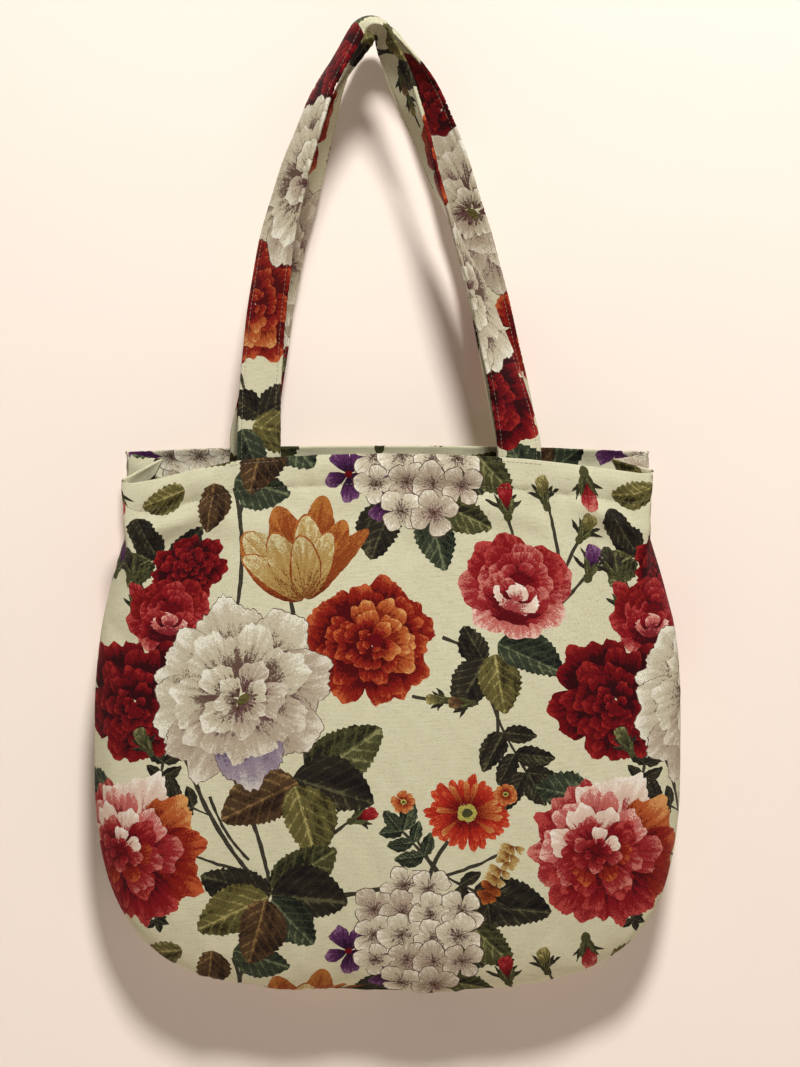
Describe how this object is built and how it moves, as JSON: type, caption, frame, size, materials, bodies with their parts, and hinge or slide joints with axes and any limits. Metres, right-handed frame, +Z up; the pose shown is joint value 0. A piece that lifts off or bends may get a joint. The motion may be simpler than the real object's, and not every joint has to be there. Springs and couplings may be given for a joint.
{
  "type": "tote bag",
  "caption": "Soft open-topped tote bag of flowered tapestry cloth with a boxed bottom, tucked-in sides, a turned hem and long twisted self-cloth handles, hanging from a peg.",
  "frame": {"origin": "where the two handles bear on the peg that the bag hangs from, midway between them", "axes": "+Z up along the hanging bag, +X to the right and the front facing -Y"},
  "size_m": [0.432, 0.084, 0.7125],
  "materials": {
    "tapestry": "woven jacquard tapestry, flowers on a cream ground",
    "strap": "folded strip of the same tapestry, topstitched"
  },
  "bodies": {
    "root": {"front_panel": "tapestry", "back_panel": "tapestry", "front_handle": "strap", "back_handle": "strap"}
  },
  "joints": []
}
